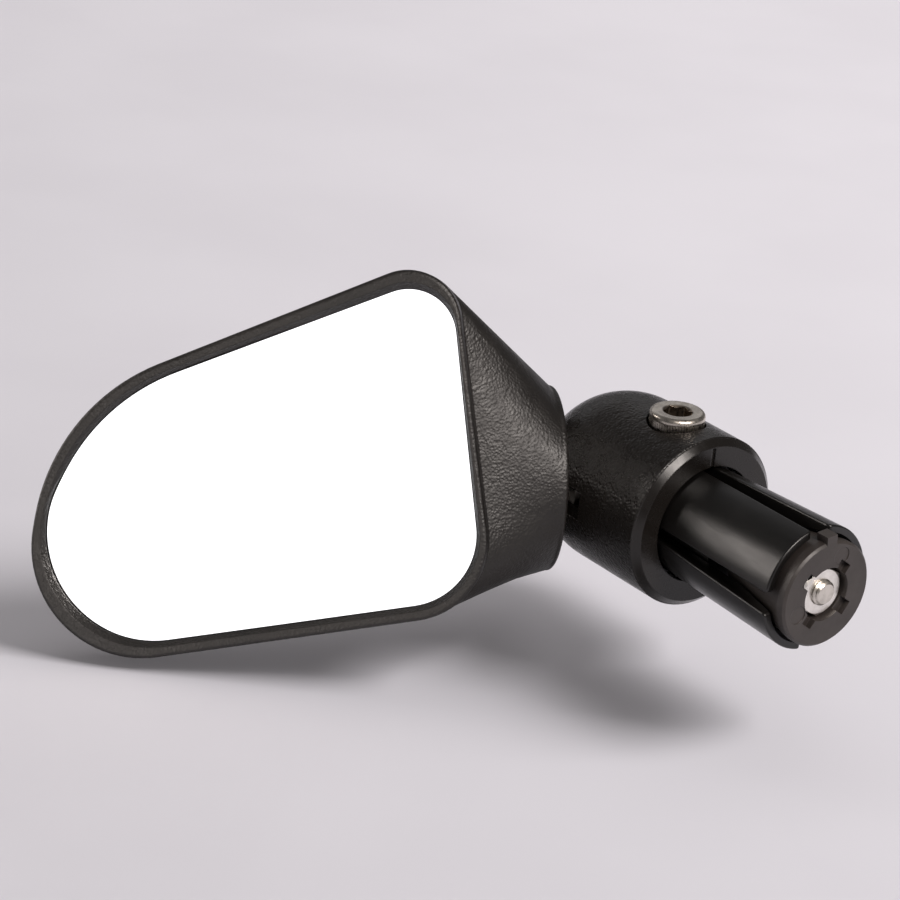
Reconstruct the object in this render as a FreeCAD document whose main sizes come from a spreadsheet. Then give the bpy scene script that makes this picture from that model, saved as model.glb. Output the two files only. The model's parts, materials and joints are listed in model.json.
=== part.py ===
"""Bar-end bicycle mirror: expander plug, clamp-on elbow knuckle, ball-and-slot pivot and teardrop head.

Frame: origin at the centre of the knuckle's flat end face, which stops against the bar's end.
+X runs along the plug into the handlebar, +Z is the axis of the clamp screw.
Angles round the plug are counted about +X from +Z. All lengths are millimetres.
"""
import FreeCAD
import Part
import Sketcher
import math
import os

Vector = FreeCAD.Vector
Rotation = FreeCAD.Rotation
Placement = FreeCAD.Placement
X_AXIS = Vector(1, 0, 0)
Y_AXIS = Vector(0, 1, 0)
Z_AXIS = Vector(0, 0, 1)

doc = FreeCAD.newDocument("bike_mirror")
sheet = doc.addObject("Spreadsheet::Sheet", "sizes")

SIZES = (
    # knuckle
    ("knuckle_radius", 13.6, "outer radius of the barrel and of the dome"),
    ("dome_back", 18.4, "distance of the dome's centre behind the end face"),
    ("rim_chamfer", 1.1, "chamfer round the end face"),
    ("bore_radius", 9.3, "bore that turns on the hub"),
    ("dome_inner", 10.5, "spherical inner surface that the inner cup slides on"),
    ("swing_slot", 4.5, "width of the dome's slot"),
    ("slot_start", -13.0, "slot's first end, degrees from -X towards -Y"),
    ("slot_end", 110.0, "slot's other end, degrees from -X towards -Y"),
    ("slit_width", 0.7, "groove in the end face in line with the clamp screw"),
    ("slit_depth", 0.3, "depth of that groove"),
    ("slit_reach", 12.3, "reach of that groove from the plug axis"),
    # clamp screw and shoe
    ("screw_back", 8.8, "distance of the clamp screw's axis behind the end face"),
    ("screw_seat", 10.15, "height of the screw head's underside above the plug axis"),
    ("screw_length", 8.0, "clamp screw length under its head"),
    ("head_radius_m5", 4.25, "M5 socket head radius"),
    ("head_height_m5", 5.0, "M5 socket head height"),
    ("screw_edge", 0.48, "rounding of the screw head's top edge, as two chamfers"),
    ("key_m5", 4.0, "hexagon socket across flats"),
    ("shank_m5", 2.48, "M5 shank radius"),
    ("shoe_half", 3.2, "half length of the clamp shoe along the plug"),
    ("shoe_inside", 3.7, "height of the shoe's flat inner side"),
    ("shoe_width", 8.4, "width of the shoe across the plug"),
    ("key_depth_m5", 2.2, "depth of the hexagon socket"),
    ("counterbore_gap", 0.3, "radial gap round the screw's head"),
    ("hole_gap", 0.25, "radial gap round the screw's shank"),
    # hub
    ("hub_radius", 9.22, "hub radius, a running fit in the knuckle's bore"),
    ("hub_back", 13.2, "open end of the hub behind the end face"),
    ("hub_shoulder", 3.2, "front shoulder of the hub behind the end face"),
    ("hub_cavity", 7.2, "inner radius round the clamp shoe"),
    ("cavity_end", 5.4, "end of that cavity behind the end face"),
    ("nose_radius", 6.6, "nose that the fingers stand on"),
    ("nose_front", 8.4, "front of the nose"),
    ("bolt_seat", 1.9, "seat of the expander bolt's washer behind the end face"),
    ("bolt_recess", 3.9, "recess radius round the expander bolt's head"),
    ("arc_slot", 5.5, "width of the arc slot that the clamp screw moves in"),
    ("arc_half", 80.0, "half angle of that slot"),
    # fingers
    ("finger_root", 3.0, "root of the fingers behind the end face"),
    ("finger_tip", 24.1, "tip of the fingers in front of the end face"),
    ("finger_outer", 8.87, "outer radius of the fingers at the end face"),
    ("finger_flare", 0.036, "growth of the outer radius per millimetre"),
    ("finger_inner", 6.9, "inner radius of the fingers"),
    ("finger_mouth", 8.6, "inner radius of the fingers at their tips"),
    ("finger_cone", 15.4, "start of the fingers' inner cone"),
    ("finger_angle", 76.0, "angle that one finger covers at its root"),
    ("finger_taper", 2.4, "angle by which each side of a finger closes in towards its tip"),
    ("finger_corner", 0.7, "rounding of the tip's corners"),
    ("finger_edge", 0.3, "rounding of the outer edges"),
    # wedge
    ("wedge_face", 26.5, "outer face of the wedge"),
    ("wedge_radius", 8.25, "radius of the wedge's disc"),
    ("wedge_rim", 25.0, "inner edge of the disc's cylindrical rim"),
    ("wedge_edge", 0.35, "chamfer of the disc's outer edge"),
    ("wedge_tail", 11.5, "small end of the wedge's cone"),
    ("wedge_small", 5.62, "radius of the cone's small end"),
    ("key_width", 1.9, "width of the wedge's key"),
    ("key_reach", 9.25, "reach of the key from the plug axis"),
    ("key_start", 24.3, "inner end of the key"),
    ("key_angle", 6.0, "place of the key round the plug"),
    ("pocket_radius", 4.15, "round recess over the nut"),
    ("pocket_floor", 24.3, "floor of that recess"),
    ("notch_radius", 5.45, "reach of the four notches round the nut"),
    ("notch_width", 2.2, "width of those notches"),
    ("notch_depth", 1.0, "depth of those notches"),
    ("notch_angle", -36.0, "place of the first notch round the plug"),
    ("mark_radius", 1.4, "radius of the two ejector marks"),
    ("mark_depth", 0.12, "depth of those marks"),
    # M4 hardware
    ("shank_m4", 1.98, "M4 shank radius"),
    ("hole_m4", 2.06, "M4 running hole radius"),
    ("nut_flats", 7.0, "M4 nut across flats"),
    ("nut_height", 3.2, "M4 nut height"),
    ("nut_inset", 1.0, "nut face below the wedge's face"),
    ("nut_chamfer", 0.35, "height of the chamfer on a nut's corners"),
    ("nut_fit", 0.08, "gap across the flats between the nut and its pocket"),
    ("bolt_end", 26.45, "end of the expander bolt"),
    ("bolt_head_radius", 3.5, "expander bolt head radius"),
    ("bolt_head_height", 2.7, "expander bolt head height"),
    ("bolt_key", 2.5, "expander bolt hexagon socket across flats"),
    ("bolt_key_depth", 1.4, "depth of that socket"),
    ("head_edge", 0.3, "chamfer of the expander bolt's head"),
    ("thread_end", 0.5, "chamfer of a thread's end"),
    ("washer_thick", 0.8, "washer thickness"),
    ("fit", 0.05, "gap at parts that slide or drop into each other"),
    ("past", 1.0, "how far a cutting tool reaches past the surface it cuts"),
    # pivot, distances along the neck's axis from the dome's centre
    ("neck_swing", 62.0, "direction of the neck, degrees from -X towards -Y"),
    ("cup_flat", 7.0, "flat face of the inner cup"),
    ("cup_radius", 5.2, "edge radius of the inner cup"),
    ("cup_sphere", 10.44, "spherical face of the inner cup"),
    ("square_neck", 4.3, "square neck of the pivot bolt"),
    ("square_end", 13.9, "end of the square neck"),
    ("pivot_head", 4.0, "pivot bolt head radius"),
    ("pivot_head_thick", 2.2, "pivot bolt head thickness"),
    ("pivot_head_edge", 0.6, "chamfer of the pivot bolt's head"),
    ("pivot_end", 29.6, "end of the pivot bolt"),
    ("seat_sphere", 13.66, "concave face of the seat cup"),
    ("seat_contact", 5.6, "outer radius of the seat cup's concave face"),
    ("seat_radius", 8.5, "outer radius of the seat cup"),
    ("seat_hole", 3.3, "hole of the seat cup"),
    ("seat_relief", 7.0, "radius of the flat recess round the concave face"),
    ("mouth", 12.0, "plane of the neck's mouth"),
    ("bulkhead_low", 15.0, "underside of the neck's bulkhead"),
    ("bulkhead_high", 17.5, "top of the neck's bulkhead"),
    ("disc_radius", 4.6, "outer radius of thrust washer and disc springs"),
    ("disc_thick", 0.5, "thickness of a disc spring"),
    ("disc_cone", 0.4, "cone height of a disc spring"),
    ("lock_nut_height", 4.0, "metal height of the lock nut"),
    ("insert_height", 1.2, "height of the lock nut's collar"),
    ("collar_outer", 3.4, "outer radius of that collar"),
    ("collar_inner", 2.9, "inner radius of that collar, round the nylon ring"),
    ("slide_gap", 0.03, "axial gap at sliding faces"),
    ("thread_gap", 0.02, "radial gap drawn between thread and nut"),
    # head, in its own frame: x towards the knuckle, y up the glass, z out of the glass
    ("head_roll", 21.8, "roll of the head about the neck's axis"),
    ("head_lean", 13.3, "angle between the neck's axis and the glass"),
    ("neck_radius", 14.2, "outer radius of the neck's mouth"),
    ("neck_rim", 0.8, "straight rim of the mouth"),
    ("neck_edge", 0.6, "rounding of the mouth's edge"),
    ("neck_cavity", 11.0, "inner radius above the bulkhead"),
    ("lip_top", 25.6, "top of the lip above the dome's centre"),
    ("lip_base", 20.4, "underside of the straight lip band"),
    ("lip_round", 0.6, "rounding of the lip's outer edge"),
    ("lip_slope", 0.35, "share of the lip's width that slopes down to the glass"),
    ("lip_ledge", 24.3, "foot of that slope"),
    ("glass_top", 24.6, "highest point of the convex glass"),
    ("glass_curve", 600.0, "radius of the glass's convex front"),
    ("glass_back", 22.4, "back of the glass"),
    ("pad_back", 21.6, "ledge under the bedding pad"),
    ("glass_gap", 0.15, "gap round the glass"),
    ("pad_inset", 0.4, "edge of the pad inside the glass's edge"),
    ("ledge_inset", 1.8, "edge of the cavity inside the glass's edge"),
    # corner circles of the housing's outline, then of the glass
    ("low_left_x", -71.09, "lower left corner circle of the outline"),
    ("low_left_y", -10.82, ""),
    ("low_left_r", 16.32, ""),
    ("low_right_x", -31.89, "lower right corner circle"),
    ("low_right_y", -8.8, ""),
    ("low_right_r", 11.89, ""),
    ("top_right_x", -32.4, "upper right corner circle"),
    ("top_right_y", 22.9, ""),
    ("top_right_r", 7.9, ""),
    ("top_left_x", -57.48, "upper left circle"),
    ("top_left_y", -11.21, ""),
    ("top_left_r", 29.82, ""),
    ("glass_low_left_x", -69.55, "lower left corner circle of the glass"),
    ("glass_low_left_y", -8.77, ""),
    ("glass_low_left_r", 15.82, ""),
    ("glass_low_right_x", -32.36, "lower right corner circle"),
    ("glass_low_right_y", -7.98, ""),
    ("glass_low_right_r", 10.6, ""),
    ("glass_top_right_x", -32.3, "upper right corner circle"),
    ("glass_top_right_y", 21.01, ""),
    ("glass_top_right_r", 6.99, ""),
    ("glass_top_left_x", -55.17, "upper left circle"),
    ("glass_top_left_y", -13.56, ""),
    ("glass_top_left_r", 30.75, ""),
)
for row, (name, value, note) in enumerate(SIZES, start=1):
    sheet.set(f"A{row}", name)
    sheet.set(f"B{row}", str(value))
    sheet.setAlias(f"B{row}", name)
    sheet.set(f"C{row}", note)
doc.recompute()


def size(name):
    """A driving dimension, read back from the sheet."""
    return float(sheet.get(name))


def cell(text):
    """An expression on the sheet: every dimension's name gets the sheet's prefix."""
    known = {name for name, _, _ in SIZES}
    words = text.replace("(", " ( ").replace(")", " ) ").split()
    return " ".join(f"sizes.{word}" if word in known else word for word in words)


def bind(obj, **properties):
    """Bind an object's properties to expressions on the sheet."""
    for name, text in properties.items():
        obj.setExpression(name.replace("__", "."), cell(text))
    return obj


# ---------------------------------------------------------------- places of the moving groups
DOME_CENTRE = Vector(-size("dome_back"), 0, 0)
PLUG = Placement()
PIVOT = Placement(DOME_CENTRE, Rotation(Z_AXIS, 180 + size("neck_swing")))
HEAD = Placement(
    DOME_CENTRE,
    Rotation(Z_AXIS, size("neck_swing"))
    * Rotation(X_AXIS, 90 - size("head_roll"))
    * Rotation(Y_AXIS, -size("head_lean")),
)
LEAN = math.radians(size("head_lean"))
NECK_IN_HEAD = Vector(-math.cos(LEAN), 0, math.sin(LEAN))

subparts = []


def finish(obj, label, place):
    """Name a finished piece and put it in its place."""
    obj.Label = label
    obj.Placement = place
    subparts.append(obj)
    return obj


# ---------------------------------------------------------------- small builders
def origin_plane(body, role):
    return next(item for item in body.Origin.OriginFeatures if item.Role == role)


def sketch_on(body, role, name):
    sketch = body.newObject("Sketcher::SketchObject", name)
    sketch.AttachmentSupport = (origin_plane(body, role), "")
    sketch.MapMode = "FlatFace"
    return sketch


def closed_outline(sketch, corners):
    """Draw a closed outline of straight lines; each corner is a pair of sheet expressions."""
    points = [Vector(evaluate(x), evaluate(y), 0) for x, y in corners]
    count = len(points)
    for index in range(count):
        sketch.addGeometry(Part.LineSegment(points[index], points[(index + 1) % count]), False)
    for index in range(count):
        sketch.addConstraint(Sketcher.Constraint("Coincident", index, 2, (index + 1) % count, 1))
    for index, (x, y) in enumerate(corners):
        for kind, text, value in (("DistanceX", x, points[index].x), ("DistanceY", y, points[index].y)):
            number = sketch.addConstraint(Sketcher.Constraint(kind, index, 1, value))
            sketch.setExpression(f"Constraints[{number}]", cell(text))


def evaluate(text):
    """The present value of a sheet expression, for a sketch's first shape."""
    values = {name: str(size(name)) for name, _, _ in SIZES}
    words = text.replace("(", " ( ").replace(")", " ) ").split()
    return FreeCAD.Units.Quantity(" ".join(values.get(word, word) for word in words)).Value


def turned(name, corners, angle="360", middle=False):
    """A body turned about X from an outline of (x, radius) corners."""
    body = doc.addObject("PartDesign::Body", name)
    sketch = sketch_on(body, "XZ_Plane", name + "_profile")
    closed_outline(sketch, corners)
    turn = body.newObject("PartDesign::Revolution", name + "_turn")
    turn.Profile = sketch
    turn.ReferenceAxis = (sketch, ["H_Axis"])
    turn.Midplane = middle
    turn.setExpression("Angle", cell(angle))
    return body


def ring(name, start, end, inner, outer):
    """A plain ring about X."""
    return turned(name, ((start, inner), (start, outer), (end, outer), (end, inner)))


def rod(name, radius, start, end):
    """A cylinder along X."""
    obj = doc.addObject("Part::Cylinder", name)
    obj.Placement = Placement(Vector(), Rotation(Y_AXIS, 90))
    return bind(obj, Radius=radius, Height=f"{end} - ({start})", Placement__Base__x=start)


def post(name, radius, place_x, start, end):
    """A cylinder along Z at a place on the X axis."""
    obj = doc.addObject("Part::Cylinder", name)
    return bind(obj, Radius=radius, Height=f"{end} - ({start})", Placement__Base__x=place_x,
                Placement__Base__z=start)


def ball(name, radius, place_x="0"):
    return bind(doc.addObject("Part::Sphere", name), Radius=radius, Placement__Base__x=place_x)


def block(name, start, end, width, low, high):
    """A box from start to end along X, centred on Y, from low to high along Z."""
    obj = doc.addObject("Part::Box", name)
    return bind(obj, Length=f"{end} - ({start})", Width=width, Height=f"{high} - ({low})",
                Placement__Base__x=start, Placement__Base__y=f"-1 * ({width}) / 2", Placement__Base__z=low)


def corner_radius(flats):
    """Distance from a hexagon's centre to its corners, from its size across flats."""
    return f"({flats}) / {math.sqrt(3):.6f}"


def hexagon(name, flats, start, end):
    """A hexagonal prism along X with a corner towards +Z."""
    obj = doc.addObject("Part::Prism", name)
    obj.Polygon = 6
    obj.Placement = Placement(Vector(), Rotation(Y_AXIS, 90))
    return bind(obj, Circumradius=corner_radius(flats), Height=f"{end} - ({start})", Placement__Base__x=start)


def round_plug(obj, angle):
    """Turn a tool about the X axis."""
    obj.Placement = Placement(Vector(), Rotation(X_AXIS, angle)) * obj.Placement
    return obj


def fused(name, *parts):
    obj = doc.addObject("Part::MultiFuse", name)
    obj.Shapes = list(parts)
    return obj


def common(name, *parts):
    obj = doc.addObject("Part::MultiCommon", name)
    obj.Shapes = list(parts)
    return obj


def cut(name, base, *tools):
    """Base minus every tool."""
    for index, tool in enumerate(tools, start=1):
        obj = doc.addObject("Part::Cut", name if index == len(tools) else f"{name}_cut_{index}")
        obj.Base = base
        obj.Tool = tool
        base = obj
    return base


def copies(name, tool, angles):
    """The same tool at several angles round the plug, fused."""
    group = []
    for angle in angles:
        link = doc.addObject("Part::Feature", f"{name}_{round(angle)}")
        doc.recompute()
        link.Shape = tool.Shape.copy()
        link.Placement = Placement(Vector(), Rotation(X_AXIS, angle)) * tool.Placement
        group.append(link)
    return fused(name, *group)


QUARTERS = (0, 90, 180, 270)
DISC_SPRINGS = 4
TOLERANCE = 1e-3
# angle round the plug and distance from its axis of the wedge's ejector marks
EJECTOR_MARKS = ((-20, 6.05), (113, 5.6))


# ---------------------------------------------------------------- plug: hub, fingers, wedge, bolt
def make_hub():
    blank = turned("hub_blank", (
        ("-1 * hub_back", "hub_cavity"),
        ("-1 * hub_back", "hub_radius"),
        ("-1 * hub_shoulder", "hub_radius"),
        ("-1 * hub_shoulder", "nose_radius"),
        ("nose_front", "nose_radius"),
        ("nose_front", "hole_m4"),
        ("-1 * bolt_seat", "hole_m4"),
        ("-1 * bolt_seat", "bolt_recess"),
        ("-1 * cavity_end", "bolt_recess"),
        ("-1 * cavity_end", "hub_cavity"),
    ))
    slot = rod("hub_slot", "hub_radius + past", "-1 * screw_back - arc_slot / 2",
               "-1 * screw_back + arc_slot / 2")
    slot.Placement.Rotation = Rotation(Y_AXIS, 90) * Rotation(Z_AXIS, 180 - size("arc_half"))
    bind(slot, Angle="2 * arc_half")
    finish(cut("hub_piece", blank, slot), "hub", PLUG)


def finger_side(name, hand):
    """A block that trims one side of a finger, from nothing at the end face to the tip's taper."""
    obj = doc.addObject("Part::Box", name)
    bind(obj, Length="finger_tip + 2 * past", Width="finger_inner / 2", Height="finger_inner")
    outer_corner = Vector(0, min(0, -hand * obj.Width.Value), size("finger_inner") - size("past"))
    tilt = Rotation(X_AXIS, hand * size("finger_angle") / 2) * Rotation(Z_AXIS, hand * size("finger_taper"))
    obj.Placement = Placement(Vector(), tilt) * Placement(outer_corner, Rotation())
    return obj


def finger_rounds(shape):
    """Edge numbers and radii: the tip's two corners, and the outer edges along the sides and the tip."""
    tip = size("finger_tip")
    middle_radius = (size("finger_mouth") + size("finger_outer")) / 2
    rounds = []
    for number, edge in enumerate(shape.Edges, start=1):
        at_tip = all(abs(vertex.X - tip) < TOLERANCE for vertex in edge.Vertexes)
        outside = all(math.hypot(vertex.Y, vertex.Z) > middle_radius for vertex in edge.Vertexes)
        radial = at_tip and isinstance(edge.Curve, Part.Line)
        if radial:
            rounds.append((number, size("finger_corner"), size("finger_corner")))
        elif outside and (at_tip or any(abs(vertex.X - tip) < TOLERANCE for vertex in edge.Vertexes)):
            rounds.append((number, size("finger_edge"), size("finger_edge")))
    return rounds


def make_fingers():
    for number, quarter in enumerate(QUARTERS, start=1):
        blank = turned(f"finger_blank_{number}", (
            ("-1 * finger_root", "finger_inner"),
            ("-1 * finger_root", "finger_outer - finger_flare * finger_root"),
            ("finger_tip", "finger_outer + finger_flare * finger_tip"),
            ("finger_tip", "finger_mouth"),
            ("finger_cone", "finger_inner"),
        ), angle="finger_angle", middle=True)
        sides = [finger_side(f"finger_side_{number}_{hand}", hand) for hand in (1, -1)]
        trimmed = cut(f"finger_trimmed_{number}", blank, *sides)
        doc.recompute()
        finger = doc.addObject("Part::Fillet", f"finger_piece_{number}")
        finger.Base = trimmed
        finger.Edges = finger_rounds(trimmed.Shape)
        finish(finger, f"finger_{number}", Placement(Vector(), Rotation(X_AXIS, 45 + quarter)))


def make_wedge():
    cone = turned("wedge_cone", (
        ("wedge_tail", "hole_m4"),
        ("wedge_tail", "wedge_small"),
        ("wedge_rim", "wedge_radius"),
        ("wedge_face - wedge_edge", "wedge_radius"),
        ("wedge_face", "wedge_radius - wedge_edge"),
        ("wedge_face", "hole_m4"),
    ))
    key = block("wedge_key", "key_start", "wedge_face", "key_width", "wedge_small", "key_reach")
    body = fused("wedge_body", cone, round_plug(key, size("key_angle")))
    above = "wedge_face + past"
    notch = block("wedge_notch", "wedge_face - notch_depth", above, "notch_width", "hole_m4", "notch_radius")
    notches = copies("wedge_notches", notch, [size("notch_angle") + quarter for quarter in QUARTERS])
    marks = []
    for angle, reach in EJECTOR_MARKS:
        mark = rod(f"ejector_mark_{len(marks) + 1}", "mark_radius", "wedge_face - mark_depth", above)
        mark.Placement.Base.z = reach
        marks.append(round_plug(mark, angle))
    pocket = hexagon("wedge_pocket", "nut_flats + nut_fit", "wedge_face - nut_inset - nut_height", above)
    recess = rod("wedge_recess", "pocket_radius", "pocket_floor", above)
    finish(cut("wedge_piece", body, pocket, recess, notches, *marks), "wedge", PLUG)


def make_nut(name, start, end):
    """A hexagon nut along X with chamfered corners."""
    corner = corner_radius("nut_flats")
    flat = "nut_flats / 2 - fit"
    envelope = turned(name + "_envelope", (
        (start, "shank_m4 + thread_gap"),
        (start, flat),
        (f"{start} + nut_chamfer", corner),
        (f"{end} - nut_chamfer", corner),
        (end, flat),
        (end, "shank_m4 + thread_gap"),
    ))
    return common(name + "_piece", hexagon(name + "_prism", "nut_flats", start, end), envelope)


def make_plug_hardware():
    seat = "-1 * bolt_seat - washer_thick"
    washer = ring("washer_blank", seat, "-1 * bolt_seat", "hole_m4", "bolt_recess - 4 * fit")
    finish(washer, "expander_washer", PLUG)
    bolt = turned("expander_bolt_blank", (
        (f"{seat} - bolt_head_height", "0"),
        (f"{seat} - bolt_head_height", "bolt_head_radius - head_edge"),
        (f"{seat} - bolt_head_height + head_edge", "bolt_head_radius"),
        (seat, "bolt_head_radius"),
        (seat, "shank_m4"),
        ("bolt_end - thread_end", "shank_m4"),
        ("bolt_end", "shank_m4 - thread_end"),
        ("bolt_end", "0"),
    ))
    key = hexagon("expander_bolt_key", "bolt_key", f"{seat} - bolt_head_height - past",
                  f"{seat} - bolt_head_height + bolt_key_depth")
    finish(cut("expander_bolt_piece", bolt, key), "expander_bolt", PLUG)
    start = "wedge_face - nut_inset - nut_height"
    finish(make_nut("wedge_nut", start, f"{start} + nut_height"), "wedge_nut", PLUG)


# ---------------------------------------------------------------- knuckle and its clamp screw
def make_knuckle():
    barrel = rod("barrel", "knuckle_radius", "-1 * dome_back", "-1 * rim_chamfer")
    rim = doc.addObject("Part::Cone", "rim")
    rim.Placement = Placement(Vector(), Rotation(Y_AXIS, 90))
    bind(rim, Radius1="knuckle_radius", Radius2="knuckle_radius - rim_chamfer", Height="rim_chamfer",
         Placement__Base__x="-1 * rim_chamfer")
    body = fused("knuckle_body", barrel, rim, ball("dome", "knuckle_radius", "-1 * dome_back"))
    slot = post("knuckle_slot", "knuckle_radius + past", "-1 * dome_back", "-1 * swing_slot / 2",
                "swing_slot / 2")
    slot.Placement.Rotation = Rotation(Z_AXIS, 180 + size("slot_start"))
    bind(slot, Angle="slot_end - slot_start")
    knuckle = cut(
        "knuckle_piece", body,
        rod("knuckle_bore", "bore_radius", "-1 * dome_back + past", "past"),
        ball("dome_cavity", "dome_inner", "-1 * dome_back"),
        slot,
        post("screw_counterbore", "head_radius_m5 + counterbore_gap", "-1 * screw_back", "screw_seat",
             "knuckle_radius + past"),
        post("screw_hole", "shank_m5 + hole_gap", "-1 * screw_back", "shoe_inside", "screw_seat + past"),
        block("face_slit", "-1 * slit_depth", "past", "slit_width", "bore_radius - past", "slit_reach"),
    )
    finish(knuckle, "knuckle", PLUG)


def make_clamp():
    top = "screw_seat + head_height_m5"
    blank = turned("clamp_screw_blank", (
        ("screw_seat - screw_length", "0"),
        ("screw_seat - screw_length", "shank_m5 - thread_end"),
        ("screw_seat - screw_length + thread_end", "shank_m5"),
        ("screw_seat", "shank_m5"),
        ("screw_seat", "head_radius_m5"),
        (f"{top} - screw_edge", "head_radius_m5"),
        (f"{top} - screw_edge / 3", "head_radius_m5 - screw_edge / 3"),
        (top, "head_radius_m5 - screw_edge"),
        (top, "0"),
    ))
    key = hexagon("clamp_screw_key", "key_m5", f"{top} - key_depth_m5", f"{top} + past")
    upright = Placement(Vector(-size("screw_back"), 0, 0), Rotation(Y_AXIS, -90))
    finish(cut("clamp_screw_piece", blank, key), "clamp_screw", upright)
    saddle = common(
        "shoe_saddle",
        block("shoe_block", "-1 * screw_back - shoe_half", "-1 * screw_back + shoe_half", "shoe_width",
              "shoe_inside", "hub_cavity + past"),
        rod("shoe_round", "hub_cavity - fit", "-1 * hub_back", "0"),
    )
    hole = post("shoe_thread", "shank_m5 + thread_gap", "-1 * screw_back", "0", "hub_cavity + past")
    finish(cut("clamp_shoe_piece", saddle, hole), "clamp_shoe", PLUG)


# ---------------------------------------------------------------- pivot stack, along the neck's axis
def make_pivot():
    cup = common("inner_cup_cap", rod("inner_cup_rod", "cup_radius", "cup_flat", "dome_inner + past"),
                 ball("inner_cup_ball", "cup_sphere"))
    square_hole = block("inner_cup_hole", "cup_flat - past", "dome_inner + past", "square_neck + 2 * fit",
                        "-1 * square_neck / 2 - fit", "square_neck / 2 + fit")
    finish(cut("inner_cup_piece", cup, square_hole), "inner_cup", PIVOT)
    seat = "cup_flat - slide_gap"
    bolt = turned("pivot_bolt_blank", (
        (f"{seat} - pivot_head_thick", "0"),
        (f"{seat} - pivot_head_thick", "pivot_head - pivot_head_edge"),
        (f"{seat} - pivot_head_thick + pivot_head_edge", "pivot_head"),
        (seat, "pivot_head"),
        (seat, "shank_m4"),
        ("pivot_end - thread_end", "shank_m4"),
        ("pivot_end", "shank_m4 - thread_end"),
        ("pivot_end", "0"),
    ))
    neck = block("pivot_bolt_neck", f"{seat} - pivot_head_thick / 4", "square_end", "square_neck",
                 "-1 * square_neck / 2", "square_neck / 2")
    finish(fused("pivot_bolt_piece", bolt, neck), "pivot_bolt", PIVOT)


def make_spring_stack():
    """Thrust washer, disc springs, washer and lock nut above the neck's bulkhead."""
    start = "bulkhead_high + slide_gap"
    finish(ring("thrust_washer_blank", start, f"{start} + washer_thick", "hole_m4", "disc_radius"),
           "thrust_washer", PIVOT)
    start = f"{start} + washer_thick"
    discs = []
    for number in range(DISC_SPRINGS):
        lift_inner = "0" if number % 2 == 0 else "disc_cone"
        lift_outer = "disc_cone" if number % 2 == 0 else "0"
        discs.append(turned(f"disc_{number + 1}", (
            (f"{start} + {lift_inner}", "hole_m4"),
            (f"{start} + {lift_outer}", "disc_radius"),
            (f"{start} + {lift_outer} + disc_thick", "disc_radius"),
            (f"{start} + {lift_inner} + disc_thick", "hole_m4"),
        )))
        start = f"{start} + disc_thick + disc_cone + fit / 5"
    springs = doc.addObject("Part::Compound", "disc_springs_group")
    springs.Links = discs
    finish(springs, "disc_springs", PIVOT)
    finish(ring("pivot_washer_blank", start, f"{start} + washer_thick", "hole_m4", "disc_radius"),
           "pivot_washer", PIVOT)
    start = f"{start} + washer_thick"
    hexagon_end = f"{start} + lock_nut_height"
    collar = ring("lock_nut_collar", hexagon_end, f"{hexagon_end} + insert_height", "collar_inner",
                  "collar_outer")
    nut = make_nut("lock_nut", start, hexagon_end)
    finish(fused("lock_nut_whole", nut, collar), "lock_nut", PIVOT)
    nylon = ring("insert_blank", hexagon_end, f"{hexagon_end} + insert_height - 2 * fit", "shank_m4",
                 "collar_inner - thread_gap")
    finish(nylon, "lock_nut_insert", PIVOT)


def make_seat_cup():
    plain = ring("seat_cup_blank", "mouth", "bulkhead_low", "seat_hole", "seat_radius")
    contact_plane = math.sqrt(size("seat_sphere") ** 2 - size("seat_contact") ** 2)
    cup = cut("seat_cup_piece", plain, ball("seat_cup_ball", "seat_sphere"),
              rod("seat_cup_relief", "seat_relief", "mouth - past", f"{contact_plane:.4f}"))
    finish(cup, "seat_cup", PIVOT)


# ---------------------------------------------------------------- head
CORNERS = ("low_left", "low_right", "top_right", "top_left")
# angles round the neck, from its glass side, that the outline's eight joints run down to
NECK_ANGLES = (175, 245, 295, 335, 405, 485, 505, 525)


def corner_circles(share, inset):
    """Corner circles between the housing's outline, at share 0, and the glass's, at 1, drawn in by inset."""
    circles = []
    for corner in CORNERS:
        x, y, r = (size(f"{corner}_{part}") * (1 - share) + size(f"glass_{corner}_{part}") * share
                   for part in "xyr")
        circles.append((x, y, r - inset))
    return circles


def corner_arcs(circles):
    """Centre, radius and first and last angle of each corner arc of an outline."""
    normals = []
    for (x0, y0, r0), (x1, y1, r1) in zip(circles, circles[1:] + circles[:1]):
        reach = math.hypot(x1 - x0, y1 - y0)
        normals.append(math.atan2(y1 - y0, x1 - x0) - math.acos((r0 - r1) / reach))
    return [(x, y, r, normals[i - 1], normals[i]) for i, (x, y, r) in enumerate(circles)]


def arc_edge(centre, radius, first, last, side, up):
    """An arc round centre in the plane of side and up."""
    def at(angle):
        return centre + side * (radius * math.cos(angle)) + up * (radius * math.sin(angle))
    return Part.Arc(at(first), at((first + last) / 2), at(last)).toShape(), at(first), at(last)


def outline_wire(share, inset, level):
    """An outline of four arcs and four lines at a level above the dome's centre."""
    edges = []
    ends = []
    for x, y, r, first, last in corner_arcs(corner_circles(share, inset)):
        last = first + (last - first) % (2 * math.pi)
        edge, start, end = arc_edge(Vector(x, y, level), r, first, last, X_AXIS, Y_AXIS)
        edges.append(edge)
        ends.append((start, end))
    wire = []
    for index, edge in enumerate(edges):
        wire.append(edge)
        wire.append(Part.LineSegment(ends[index][1], ends[(index + 1) % len(ends)][0]).toShape())
    return Part.Wire(wire)


def neck_wire(radius, distance):
    """A circle round the neck's axis in eight arcs that match the outline's edges."""
    centre = NECK_IN_HEAD * distance
    front = Vector(math.sin(LEAN), 0, math.cos(LEAN))
    angles = [math.radians(angle) for angle in NECK_ANGLES + (NECK_ANGLES[0] + 360,)]
    return Part.Wire([arc_edge(centre, radius, a, b, front, Y_AXIS)[0] for a, b in zip(angles, angles[1:])])


def slab(share, inset, low, high):
    """A straight block with an outline of the head."""
    return Part.Face(outline_wire(share, inset, low)).extrude(Vector(0, 0, high - low))


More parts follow.
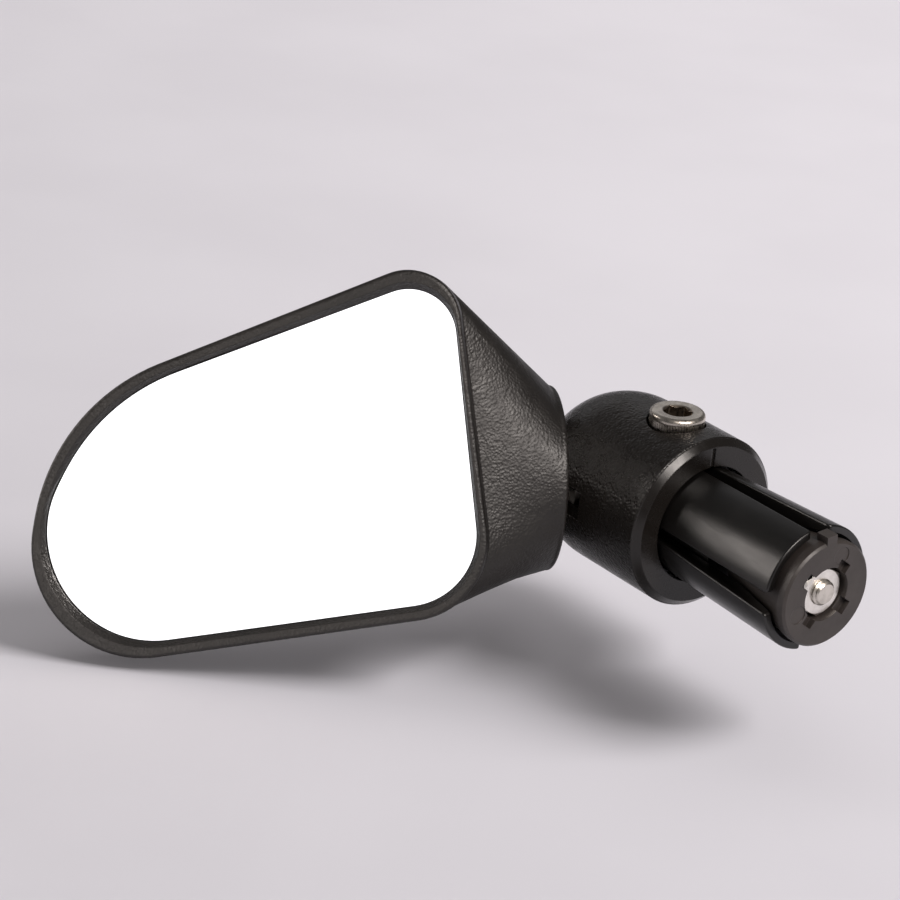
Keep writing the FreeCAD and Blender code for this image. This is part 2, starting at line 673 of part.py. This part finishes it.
def shell_feature(name, shape):
    obj = doc.addObject("Part::Feature", name)
    obj.Shape = shape
    return obj


def neck_bar(radius, start, end):
    """A cylinder along the neck's axis in the head's frame."""
    return Part.makeCylinder(radius, end - start, NECK_IN_HEAD * start, NECK_IN_HEAD)


def top_edges(shape, level):
    return [edge for edge in shape.Edges
            if all(abs(vertex.Z - level) < TOLERANCE for vertex in edge.Vertexes)]


def make_housing():
    mouth = size("mouth")
    rim_end = mouth + size("neck_rim")
    past = size("past")
    gap = size("glass_gap")
    seat = slab(1, -gap, size("pad_back"), size("lip_ledge"))
    slope = Part.makeLoft(
        [outline_wire(1, -gap, size("lip_ledge")), outline_wire(1 - size("lip_slope"), 0, size("lip_top"))],
        True, True)
    band = slab(0, 0, size("lip_base"), size("lip_top"))
    band = band.makeFillet(size("lip_round"), top_edges(band, size("lip_top"))).cut([seat, slope])
    shoulder = Part.makeLoft(
        [neck_wire(size("neck_radius"), rim_end), outline_wire(0, 0, size("lip_base"))], True, True)
    rim = neck_bar(size("neck_radius"), mouth, rim_end)
    edge = [e for e in rim.Edges if e.Closed and abs(e.Curve.Center.Length - mouth) < TOLERANCE]
    rim = rim.makeFillet(size("neck_edge"), edge)
    cavity = Part.makeLoft(
        [neck_wire(size("neck_cavity"), size("bulkhead_high")),
         outline_wire(1, size("ledge_inset"), size("pad_back"))],
        True, True)
    tools = [
        seat,
        cavity,
        neck_bar(size("seat_radius") + size("thread_gap"), mouth - past, size("bulkhead_low")),
        neck_bar(size("hole_m4"), mouth, size("bulkhead_high") + past),
    ]
    shells = (("band", band), ("loft", shoulder), ("rim", rim))
    whole = fused("housing_body", *[shell_feature(f"housing_{name}", shape) for name, shape in shells])
    parts = [shell_feature(f"housing_tool_{index}", tool) for index, tool in enumerate(tools, start=1)]
    finish(cut("housing_piece", whole, *parts), "head_housing", HEAD)


def make_glass():
    blank = slab(1, 0, size("glass_back"), size("lip_top"))
    middle = blank.BoundBox.Center
    lens = Part.makeSphere(size("glass_curve"))
    centre = Vector(middle.x, middle.y, size("glass_top") - size("glass_curve"))
    lens.Placement = Placement(centre, Rotation(Y_AXIS, 90))
    finish(shell_feature("glass_piece", blank.common(lens)), "mirror_glass", HEAD)
    pad = slab(1, size("pad_inset"), size("pad_back"), size("glass_back"))
    finish(shell_feature("pad_piece", pad), "glass_pad", HEAD)


make_hub()
make_fingers()
make_wedge()
make_plug_hardware()
make_knuckle()
make_clamp()
make_pivot()
make_spring_stack()
make_seat_cup()
make_housing()
make_glass()
doc.recompute()

# ---------------------------------------------------------------- checks and files
for obj in doc.Objects:
    if "Invalid" in obj.State or "Error" in obj.State:
        raise RuntimeError(f"{obj.Name} failed: {obj.State}")
for obj in subparts:
    if obj.Shape.isNull() or not obj.Shape.isValid() or obj.Shape.Volume <= 0:
        raise RuntimeError(f"{obj.Label} has no valid shape")

os.makedirs("parts", exist_ok=True)
for obj in subparts:
    obj.Shape.exportStep(f"parts/{obj.Label}.step")
    print(f"{obj.Label:18s} {len(obj.Shape.Solids)} solid(s) {obj.Shape.Volume:9.1f} mm3")
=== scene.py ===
"""Bike mirror: looks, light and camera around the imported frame."""
import json
import math

import bmesh
import bpy
from mathutils import Matrix, Vector


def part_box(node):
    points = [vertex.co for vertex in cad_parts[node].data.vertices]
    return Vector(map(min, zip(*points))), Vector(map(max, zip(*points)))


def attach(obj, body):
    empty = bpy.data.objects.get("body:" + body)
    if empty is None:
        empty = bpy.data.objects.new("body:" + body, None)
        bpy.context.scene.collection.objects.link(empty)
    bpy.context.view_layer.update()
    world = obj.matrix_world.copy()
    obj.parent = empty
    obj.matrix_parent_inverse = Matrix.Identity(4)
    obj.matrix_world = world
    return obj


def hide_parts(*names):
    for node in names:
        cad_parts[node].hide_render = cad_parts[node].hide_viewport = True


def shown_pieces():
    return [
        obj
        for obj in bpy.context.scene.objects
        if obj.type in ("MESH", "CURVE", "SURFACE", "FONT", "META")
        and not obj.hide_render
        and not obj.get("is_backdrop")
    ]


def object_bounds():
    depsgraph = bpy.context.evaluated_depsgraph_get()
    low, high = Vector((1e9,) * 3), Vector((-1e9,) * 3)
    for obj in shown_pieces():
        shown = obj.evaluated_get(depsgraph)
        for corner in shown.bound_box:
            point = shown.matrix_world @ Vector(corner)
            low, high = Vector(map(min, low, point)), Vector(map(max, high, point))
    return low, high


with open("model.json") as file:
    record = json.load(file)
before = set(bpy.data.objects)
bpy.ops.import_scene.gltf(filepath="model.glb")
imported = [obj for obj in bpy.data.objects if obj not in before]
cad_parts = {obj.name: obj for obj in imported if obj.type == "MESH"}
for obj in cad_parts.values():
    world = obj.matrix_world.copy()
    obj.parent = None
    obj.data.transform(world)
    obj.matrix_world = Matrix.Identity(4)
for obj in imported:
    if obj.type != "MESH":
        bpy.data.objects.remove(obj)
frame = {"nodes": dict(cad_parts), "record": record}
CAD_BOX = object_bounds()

MM = 0.001
NODES = frame["nodes"]


# ---------------------------------------------------------------- shader helpers
class Shader:
    """A small wrapper that builds a node tree round a Principled surface."""

    def __init__(self, name):
        self.material = bpy.data.materials.new(name)
        self.material.use_nodes = True
        self.tree = self.material.node_tree
        self.surface = self.tree.nodes["Principled BSDF"]
        self.place = self.add("ShaderNodeTexCoord").outputs["Object"]

    def add(self, kind, **values):
        node = self.tree.nodes.new(kind)
        for key, value in values.items():
            setattr(node, key, value)
        return node

    def join(self, value, socket):
        """Feed a socket from another node, a number or a colour."""
        if isinstance(value, (int, float)):
            socket.default_value = value
        elif isinstance(value, tuple):
            socket.default_value = (*value, 1) if len(socket.default_value) == 4 else value
        else:
            self.tree.links.new(value, socket)

    def noise(self, scale, detail=2.0, rough=0.5, stretch=(1, 1, 1)):
        """Noise in the object's own metres; scale is in cells per metre."""
        mapping = self.add("ShaderNodeMapping")
        self.join(self.place, mapping.inputs["Vector"])
        self.join(tuple(stretch), mapping.inputs["Scale"])
        node = self.add("ShaderNodeTexNoise")
        for name, value in (("Vector", mapping.outputs["Vector"]), ("Scale", scale), ("Detail", detail),
                            ("Roughness", rough)):
            self.join(value, node.inputs[name])
        return node.outputs["Fac"]

    def cells(self, scale, smoothness):
        node = self.add("ShaderNodeTexVoronoi", feature="SMOOTH_F1")
        for name, value in (("Vector", self.place), ("Scale", scale), ("Smoothness", smoothness)):
            self.join(value, node.inputs[name])
        return node.outputs["Distance"]

    def ramp(self, value, low, high, start=0.3, end=0.7):
        """Blend from low to high, both colours or both numbers, as the value goes from start to end."""
        node = self.add("ShaderNodeMapRange", interpolation_type="SMOOTHSTEP")
        for name, number in (("Value", value), ("From Min", start), ("From Max", end)):
            self.join(number, node.inputs[name])
        factor = node.outputs["Result"]
        if not isinstance(low, tuple):
            return self.math("MULTIPLY_ADD", factor, high - low, low)
        mix = self.add("ShaderNodeMix", data_type="RGBA")
        for index, content in ((0, factor), (6, low), (7, high)):
            self.join(content, mix.inputs[index])
        return mix.outputs[2]

    def math(self, operation, *values):
        node = self.add("ShaderNodeMath", operation=operation)
        for socket, value in zip(node.inputs, values):
            self.join(value, socket)
        return node.outputs[0]

    def part_of_place(self, axes):
        """The length of the position's part along the named axes, in metres."""
        keep = self.add("ShaderNodeVectorMath", operation="MULTIPLY")
        self.join(self.place, keep.inputs[0])
        self.join(tuple(1.0 if axis in axes else 0.0 for axis in "XYZ"), keep.inputs[1])
        length = self.add("ShaderNodeVectorMath", operation="LENGTH")
        self.join(keep.outputs["Vector"], length.inputs[0])
        return length.outputs["Value"]

    def soft_edge(self, radius):
        """A normal that rounds sharp edges over a radius."""
        bevel = self.add("ShaderNodeBevel", samples=4)
        self.join(radius, bevel.inputs["Radius"])
        return bevel.outputs["Normal"]

    def bump(self, height, distance, strength, under=None):
        node = self.add("ShaderNodeBump")
        for name, value in (("Strength", strength), ("Distance", distance), ("Height", height)):
            self.join(value, node.inputs[name])
        if under is not None:
            self.join(under, node.inputs["Normal"])
        return node.outputs["Normal"]

    def set(self, **sockets):
        for name, value in sockets.items():
            self.join(value, self.surface.inputs[name.replace("_", " ")])
        return self.material


# ---------------------------------------------------------------- finishes
# The knuckle is grained outside this radius, or behind this place along X; in metres, each with its fade.
GRAINED_RADIUS = (0.01335, 0.01350)
GRAINED_DOME = (-0.0190, -0.0184)
TOOL_MARKS_PER_METRE = 1600
WARM_BLACK = (0.0060, 0.0050, 0.0043)
WARM_BLACK_WORN = (0.0100, 0.0085, 0.0074)


def grain_height(s):
    """The pebbled grain of a spark-eroded mould: cells about 0.4 mm across, warped by noise."""
    return s.math("ADD", s.cells(2500, 0.7), s.math("MULTIPLY", s.noise(1400, 3), 0.9))


def grained_plastic():
    """Black nylon of the head's housing, grained all over."""
    s = Shader("grained_plastic")
    normal = s.bump(grain_height(s), 0.00011, 0.6, s.soft_edge(0.00025))
    normal = s.bump(s.noise(6000, 2), 0.00003, 0.3, normal)
    return s.set(Base_Color=s.ramp(s.noise(60, 3), WARM_BLACK, WARM_BLACK_WORN),
                 Roughness=s.ramp(s.noise(500, 3), 0.40, 0.50), Normal=normal)


def knuckle_plastic():
    """Black nylon of the knuckle: grained outside, smooth on the end face, its chamfer and the bore."""
    s = Shader("knuckle_plastic")
    outside = s.ramp(s.part_of_place("YZ"), 0.0, 1.0, *GRAINED_RADIUS)
    split = s.add("ShaderNodeSeparateXYZ")
    s.join(s.place, split.inputs[0])
    dome = s.ramp(split.outputs["X"], 1.0, 0.0, *GRAINED_DOME)
    grained = s.math("MAXIMUM", outside, dome)
    height = s.math("MULTIPLY", grain_height(s), grained)
    normal = s.bump(height, 0.00010, 0.75, s.soft_edge(0.00020))
    rough = s.math("MULTIPLY_ADD", grained, 0.03, s.ramp(s.noise(700, 3), 0.22, 0.29))
    return s.set(Base_Color=s.ramp(s.noise(60, 3), WARM_BLACK, WARM_BLACK_WORN), Roughness=rough,
                 Normal=normal, Specular_IOR_Level=0.38)


def moulded_nylon(name, dark, light, low, high):
    """Plain black nylon straight from a polished mould, with faint flow marks along the plug."""
    s = Shader(name)
    flow = s.noise(900, 4, 0.55, (0.25, 1, 1))
    normal = s.bump(flow, 0.00001, 0.3, s.soft_edge(0.00015))
    return s.set(Base_Color=s.ramp(s.noise(150, 3), dark, light),
                 Roughness=s.ramp(flow, low, high), Normal=normal)


def metal(name, dark, light, low, high):
    """Bare or plated steel with fine tool marks."""
    s = Shader(name)
    marks = s.noise(TOOL_MARKS_PER_METRE, 5, 0.6)
    return s.set(Base_Color=s.ramp(s.noise(700, 3), dark, light), Metallic=1.0,
                 Roughness=s.ramp(marks, low, high), Normal=s.bump(marks, 0.00002, 0.3, s.soft_edge(0.00008)))


def screw_steel(centre, socket_radius):
    """Stainless steel round an upright axis at a centre, with painted shade: the hex socket is coloured dark
    brown to stand in for the shadow inside it.
    """
    s = Shader("screw_steel")
    marks = s.noise(TOOL_MARKS_PER_METRE, 5, 0.6)
    from_axis = s.add("ShaderNodeVectorMath", operation="SUBTRACT")
    s.join(s.place, from_axis.inputs[0])
    s.join(centre, from_axis.inputs[1])
    s.place = from_axis.outputs["Vector"]
    radius = s.part_of_place("XY")
    steel_tone = s.ramp(s.noise(700, 3), (0.50, 0.46, 0.41), (0.68, 0.63, 0.56))
    fade = 0.00012
    # painted shade: inside the socket's radius the steel turns dark brown, standing in for the shadow in the
    # hex socket
    tone = s.ramp(radius, (0.24, 0.20, 0.16), steel_tone, socket_radius, socket_radius + fade)
    return s.set(Base_Color=tone, Metallic=1.0, Roughness=s.ramp(marks, 0.24, 0.38),
                 Normal=s.bump(marks, 0.00002, 0.3, s.soft_edge(0.00006)))


def plain_polymer(name, dark, light, rough):
    """A plain moulded or punched polymer with a slightly uneven surface."""
    s = Shader(name)
    return s.set(Base_Color=s.ramp(s.noise(500, 3), dark, light),
                 Roughness=s.ramp(s.noise(900, 3), rough, rough + 0.1),
                 Normal=s.bump(s.noise(2500, 2), 0.00004, 0.4))


def silvered_glass():
    """Silver behind clear glass: hardly any roughness, a faint wave and a trace of dust."""
    s = Shader("silvered_glass")
    return s.set(Base_Color=s.ramp(s.noise(25, 3), (0.92, 0.93, 0.935), (0.95, 0.955, 0.955)), Metallic=1.0,
                 Roughness=s.ramp(s.noise(900, 5), 0.004, 0.03, 0.45, 0.75),
                 Normal=s.bump(s.noise(15, 1), 0.00001, 0.05))


FINISHES = {
    "grained_plastic": grained_plastic(),
    "plug_nylon": moulded_nylon("finger_nylon", (0.0035, 0.0031, 0.0028),
                                (0.0055, 0.0049, 0.0044), 0.28, 0.34),
    "stainless_steel": metal("stainless_steel", (0.52, 0.49, 0.44), (0.70, 0.66, 0.60), 0.28, 0.42),
    "zinc_steel": metal("zinc_steel", (0.80, 0.77, 0.72), (0.92, 0.89, 0.84), 0.28, 0.42),
    "spring_steel": metal("spring_steel", (0.12, 0.115, 0.11), (0.22, 0.21, 0.20), 0.3, 0.45),
    "white_nylon": plain_polymer("white_nylon", (0.62, 0.61, 0.57), (0.72, 0.71, 0.67), 0.4),
    "acetal": plain_polymer("acetal", (0.012, 0.012, 0.012), (0.02, 0.02, 0.02), 0.32),
    "mirror_glass": silvered_glass(),
    "foam": plain_polymer("foam", (0.02, 0.02, 0.02), (0.04, 0.04, 0.04), 0.85),
}
OWN_FINISHES = {
    "knuckle": knuckle_plastic(),
    "wedge": moulded_nylon("wedge_nylon", (0.028, 0.023, 0.021), (0.038, 0.032, 0.029), 0.42, 0.50),
}


def dress(obj, finish):
    """Give an object its only material."""
    obj.data.materials.clear()
    obj.data.materials.append(finish)


def smooth_shading(obj, angle):
    """Smooth shading that breaks at edges sharper than an angle in degrees."""
    for polygon in obj.data.polygons:
        polygon.use_smooth = True
    obj.modifiers.new("edges", "EDGE_SPLIT").split_angle = math.radians(angle)


CAD_EDGE_ANGLE = 28
PIECE_EDGE_ANGLE = 30
SLOTS = {part["node"]: part["material_slot"] for part in frame["record"]["subparts"]}
for name, slot_name in SLOTS.items():
    dress(NODES[name], OWN_FINISHES.get(name, FINISHES[slot_name]))
    smooth_shading(NODES[name], CAD_EDGE_ANGLE)


# ---------------------------------------------------------------- turned steel pieces
AROUND = 240
HEXAGON_CORNER = 2 / math.sqrt(3)


def hexagon_radius(angle, flats):
    """Distance from the axis to the side of a hexagon at an angle."""
    return flats / 2 / math.cos((angle + math.pi / 6) % (math.pi / 3) - math.pi / 6)


class Turned:
    """Rings of vertices about an axis that are joined into one closed surface."""

    def __init__(self, origin, along, start):
        self.origin = origin
        self.along = along.normalized()
        self.side = start.normalized()
        self.other = self.along.cross(self.side)
        self.mesh = bmesh.new()
        self.ring = None

    def add_ring(self, radius_at, height_at):
        """The next ring; radius_at and height_at give millimetres for an angle."""
        ring = []
        for step in range(AROUND):
            angle = 2 * math.pi * step / AROUND
            out = self.side * math.cos(angle) + self.other * math.sin(angle)
            ring.append(self.mesh.verts.new(
                self.origin + (out * radius_at(angle) + self.along * height_at(angle)) * MM))
        if self.ring is None:
            self.mesh.faces.new(ring[::-1])
        else:
            for step in range(AROUND):
                after = (step + 1) % AROUND
                self.mesh.faces.new((self.ring[step], self.ring[after], ring[after], ring[step]))
        self.ring = ring

    def circle(self, radius, height):
        self.add_ring(lambda angle: radius, lambda angle: height)

    def rounded(self, radius, height, fillet, steps=6):
        """A quarter round from the side at radius up onto the face at height."""
        for step in range(steps + 1):
            turn = math.pi / 2 * step / steps
            self.circle(radius - fillet * (1 - math.cos(turn)), height - fillet * (1 - math.sin(turn)))

    def thread(self, major, depth, pitch, start, end, rows_per_turn=10):
        """A helical thread between two heights, with a chamfered end."""
        rows = round((end - start) / pitch * rows_per_turn)
        for row in range(rows + 1):
            height = start + (end - start) * row / rows
            limit = min(major, major - depth - 0.1 + (end - height))

            def radius(angle):
                wave = abs((height / pitch - angle / (2 * math.pi)) % 1 * 2 - 1)
                return min(limit, major - depth * min(max(wave * 1.5 - 0.25, 0), 1))
            self.add_ring(radius, lambda angle: height)

    def socket(self, flats, height, depth, countersink=0.3):
        """A hexagon socket sunk from a face at height, with a conical lead-in and bottom."""
        mouth = flats / 2 * HEXAGON_CORNER + 0.06
        self.circle(mouth, height)

        def sides(angle):
            return hexagon_radius(angle, flats)

        def lead_in(angle):
            return height - countersink * (mouth - sides(angle)) / (mouth - flats / 2)
        self.add_ring(sides, lead_in)
        self.add_ring(sides, lambda angle: height - depth)
        self.circle(0.02, height - depth - flats / 4)

    def finish(self, name, node, body, finish):
        """Close the last ring and turn the rings into a piece that stands for a CAD node."""
        self.mesh.faces.new(self.ring)
        bmesh.ops.recalc_face_normals(self.mesh, faces=self.mesh.faces)
        data = bpy.data.meshes.new(name)
        self.mesh.to_mesh(data)
        self.mesh.free()
        piece = bpy.data.objects.new(name, data)
        bpy.context.scene.collection.objects.link(piece)
        smooth_shading(piece, PIECE_EDGE_ANGLE)
        dress(piece, finish)
        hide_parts(node)
        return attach(piece, body)


def build_clamp_screw():
    """The M5 clamp screw: socket head with a rounded top edge and a knurled skirt, rolled thread below."""
    low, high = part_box("clamp_screw")
    axis = Vector(((low.x + high.x) / 2, 0, 0))
    bottom, top = low.z / MM, high.z / MM
    head = (high.x - low.x) / 2 / MM
    seat = top - 5.0
    knurl_top = top - 0.95
    teeth = 60
    tooth_depth = 0.14
    shank = 2.45
    key_flats = 4.0
    socket_turn = math.radians(23)
    steel = screw_steel(tuple(axis), 0.0022)
    tip = Turned(axis, Vector((0, 0, -1)), Vector((1, 0, 0)))
    tip.circle(1.2, -seat - 0.3)
    tip.circle(shank, -seat - 0.3)
    tip.thread(shank, 0.42, 0.8, -seat + 0.6, -bottom)
    tip.finish("clamp_screw_thread", "clamp_screw", "clamp_screw", steel)

    def knurl(angle):
        return head - 0.03 - tooth_depth * (0.5 - 0.5 * math.cos(teeth * angle))
    screw = Turned(axis, Vector((0, 0, 1)), Vector((math.cos(socket_turn), math.sin(socket_turn), 0)))
    screw.circle(2.0, seat + 0.01)
    screw.circle(head - 0.35, seat + 0.01)
    screw.circle(head - 0.2, seat + 0.12)
    screw.add_ring(knurl, lambda angle: seat + 0.28)
    screw.add_ring(knurl, lambda angle: knurl_top - 0.15)
    screw.circle(head - 0.02, knurl_top)
    screw.circle(head, knurl_top + 0.1)
    screw.rounded(head, top, 0.7)
    screw.circle(3.2, top - 0.02)
    screw.socket(key_flats, top - 0.06, 2.4)
    screw.finish("clamp_screw_head", "clamp_screw", "clamp_screw", steel)


def build_expander_bolt():
    """The M4 bolt through the plug: socket head inside the hub, rolled thread in the nut."""
    low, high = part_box("expander_bolt")
    start, end = low.x / MM, high.x / MM
    head = high.z / MM
    seat = start + 2.7
    shank = 1.97
    key_flats = 2.5
    threaded = 9.0
    steel = FINISHES["stainless_steel"]
    origin = Vector((0, 0, 0))
    bolt = Turned(origin, Vector((1, 0, 0)), Vector((0, 0, 1)))
    bolt.circle(1.2, seat - 0.4)
    bolt.circle(shank, seat - 0.4)
    bolt.circle(shank, end - threaded)
    bolt.thread(shank, 0.34, 0.7, end - threaded + 0.1, end)
    bolt.finish("expander_bolt_thread", "expander_bolt", "expander_bolt", steel)
    cap = Turned(origin, Vector((-1, 0, 0)), Vector((0, 0, 1)))
    cap.circle(shank - 0.3, -seat)
    cap.circle(head - 0.2, -seat)
    cap.circle(head, -seat + 0.2)
    cap.rounded(head, -start, 0.3)
    cap.socket(key_flats, -start, 1.2, 0.15)
    cap.finish("expander_bolt_head", "expander_bolt", "expander_bolt", steel)


build_clamp_screw()
build_expander_bolt()


# ---------------------------------------------------------------- stage, light and camera
CAMERA_AZIMUTH = math.radians(51.26)
CAMERA_ELEVATION = math.radians(23.25)
CAMERA_ROLL = math.radians(5.14)
CAMERA_DISTANCE = 0.450
CAMERA_LENS = 120.3
AIM = Vector((-0.02675, -0.02852, 0.00701))
FLOOR_GAP = 0.0002
FLOOR_HALF = 6.0


def view_axes():
    """Right, up and back of the camera."""
    a, e, r = CAMERA_AZIMUTH, CAMERA_ELEVATION, CAMERA_ROLL
    back = Vector((math.sin(a) * math.cos(e), -math.cos(a) * math.cos(e), math.sin(e)))
    right = Vector((math.cos(a), math.sin(a), 0))
    up = back.cross(right)
    return right * math.cos(r) + up * math.sin(r), up * math.cos(r) - right * math.sin(r), back


RIGHT, UP, BACK = view_axes()


def add_camera():
    """The camera at the photo's viewing angle."""
    data = bpy.data.cameras.new("camera")
    data.lens = CAMERA_LENS
    data.sensor_width = 36
    data.clip_start = 0.01
    camera = bpy.data.objects.new("camera", data)
    bpy.context.scene.collection.objects.link(camera)
    camera.matrix_world = Matrix.Translation(AIM + BACK * CAMERA_DISTANCE) @ Matrix(
        (RIGHT, UP, BACK)).transposed().to_4x4()
    bpy.context.scene.camera = camera


def add_floor():
    """A plain pale floor just under the object."""
    mesh = bpy.data.meshes.new("floor")
    grid = bmesh.new()
    bmesh.ops.create_grid(grid, x_segments=8, y_segments=8, size=FLOOR_HALF)
    grid.to_mesh(mesh)
    grid.free()
    floor = bpy.data.objects.new("floor", mesh)
    floor.location = (0, 0, CAD_BOX[0][2] - FLOOR_GAP)
    bpy.context.scene.collection.objects.link(floor)
    s = Shader("paper")
    tone = s.ramp(s.noise(14, 3), (0.66, 0.635, 0.655), (0.69, 0.665, 0.685))
    floor.data.materials.append(s.set(Base_Color=tone, Roughness=0.9))
    floor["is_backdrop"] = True
    return floor


WARM = (1.0, 0.92, 0.87)
NEUTRAL = (1.0, 0.98, 1.0)


def linked(name, objects):
    """A collection of objects for light linking."""
    group = bpy.data.collections.new(name)
    for member in objects:
        group.objects.link(member)
    return group


def add_softbox(name, toward, distance, size, brightness, colour, lights, shaded_by=()):
    """A soft box that shines on the object from a direction given as camera right, up and back.

    Brightness is the box's radiance. Only the objects in lights receive its light, and if any are
    given in shaded_by, only those throw shadows in it.
    """
    data = bpy.data.lights.new(name, "AREA")
    data.shape = "RECTANGLE"
    data.size, data.size_y = size
    data.energy = brightness * math.pi * size[0] * size[1]
    data.color = colour
    light = bpy.data.objects.new(name, data)
    direction = (RIGHT * toward[0] + UP * toward[1] + BACK * toward[2]).normalized()
    light.location = AIM + direction * distance
    light.rotation_euler = direction.to_track_quat("Z", "Y").to_euler()
    bpy.context.scene.collection.objects.link(light)
    light.light_linking.receiver_collection = linked(name + "_lights", lights)
    if shaded_by:
        light.light_linking.blocker_collection = linked(name + "_shades", shaded_by)


def add_world(strength):
    """A weak even light from all round."""
    world = bpy.data.worlds.new("studio")
    world.use_nodes = True
    background = world.node_tree.nodes["Background"]
    background.inputs["Color"].default_value = (1.0, 0.98, 0.985, 1)
    background.inputs["Strength"].default_value = strength
    bpy.context.scene.world = world


add_camera()
floor = add_floor()
add_world(0.12)
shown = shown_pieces()
knuckle = NODES["knuckle"]
housing = NODES["head_housing"]
glass = NODES["mirror_glass"]
# name, direction, distance, size, brightness, colour, what it lights, what shades it if not everything
for softbox in (
    ("left_box", (-0.91, 0.40, -0.05), 0.7, (0.28, 0.40), 6.0, WARM, shown),
    ("right_box", (0.48, 0.34, 0.81), 0.8, (0.34, 0.34), 19.0, WARM, shown),
    ("rear_box", (-0.1, 0.80, -0.6), 1.1, (1.1, 0.5), 0.4, NEUTRAL, shown),
    ("rim_box", (-0.50, -0.30, 0.80), 0.8, (0.6, 0.6), 3.2, WARM, [housing]),
    ("grain_box", (-0.1036, 0.0708, 0.0054), 0.126, (0.04, 0.04), 16.0, WARM, [knuckle], [knuckle]),
    ("floor_key", (0.76, 0.56, 0.30), 1.1, (0.5, 0.5), 14.5, NEUTRAL, [floor]),
    ("floor_wash", (0.08, 0.93, -0.35), 0.85, (1.2, 1.0), 1.15, NEUTRAL, [floor], [floor]),
    ("mirror_card", (-0.12, -0.06, 0.99), 0.75, (0.6, 0.6), 1.5, NEUTRAL, [glass]),
):
    add_softbox(*softbox)
bpy.context.scene.view_settings.view_transform = "Standard"
